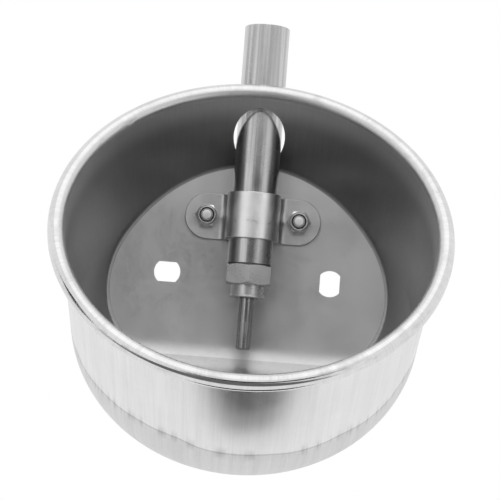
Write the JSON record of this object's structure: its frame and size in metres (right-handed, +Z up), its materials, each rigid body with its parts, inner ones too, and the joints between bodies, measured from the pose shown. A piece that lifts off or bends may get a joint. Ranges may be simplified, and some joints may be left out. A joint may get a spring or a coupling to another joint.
{
  "type": "livestock drinking bowl",
  "caption": "Wall-mounted drinking bowl of drawn steel sheet with a flat slanted back, an inlet pipe held by a saddle clamp, and a push-pin nipple valve.",
  "frame": {"origin": "on the bowl's wall face, midway between its two mounting holes", "axes": "+Z up along the wall and the inlet pipe, +Y into the wall, +X to the right seen from the front"},
  "size_m": [0.18, 0.1396, 0.2118],
  "materials": {
    "drawn_steel": "drawn and brushed, bright",
    "pipe_steel": "drawn tube, lengthwise grain",
    "strap_steel": "pressed strap, satin with scuffs",
    "zinc_steel": "bright plated fastener",
    "nylon": "moulded, satin",
    "fibre_washer": "matt",
    "turned_steel": "turned on a lathe",
    "seal_rubber": "matt",
    "spring_steel": "drawn wire",
    "strainer_plastic": "moulded",
    "screen_steel": "woven mesh"
  },
  "bodies": {
    "bowl": {"bowl_shell": "drawn_steel", "inlet_pipe": "pipe_steel", "pipe_clamp": "strap_steel", "clamp_studs": "zinc_steel", "lock_nuts": "zinc_steel", "nut_inserts": "nylon", "pipe_washer": "fibre_washer", "valve_body": "turned_steel", "seat_seal": "seal_rubber", "valve_spring": "spring_steel", "spring_retainer": "strainer_plastic", "strainer_frame": "strainer_plastic", "strainer_screen": "screen_steel"},
    "follower": {"spring_follower": "turned_steel"},
    "pin": {"valve_stem": "turned_steel"}
  },
  "joints": [
    {"name": "pin_tip_fore_aft", "type": "hinge", "parent": "bowl", "child": "follower", "pos_m": [0, -0.01366, 0.00185], "axis": [1, 0, 0], "range_deg": [-7, 7], "stiffness_Nm_per_rad": 0.4, "deforming": ["valve_spring"]},
    {"name": "pin_tip_sideways", "type": "hinge", "parent": "follower", "child": "pin", "pos_m": [0, -0.01366, 0.00185], "axis": [0, 1, 0], "range_deg": [-7, 7], "stiffness_Nm_per_rad": 0.4, "deforming": ["seat_seal"]}
  ]
}
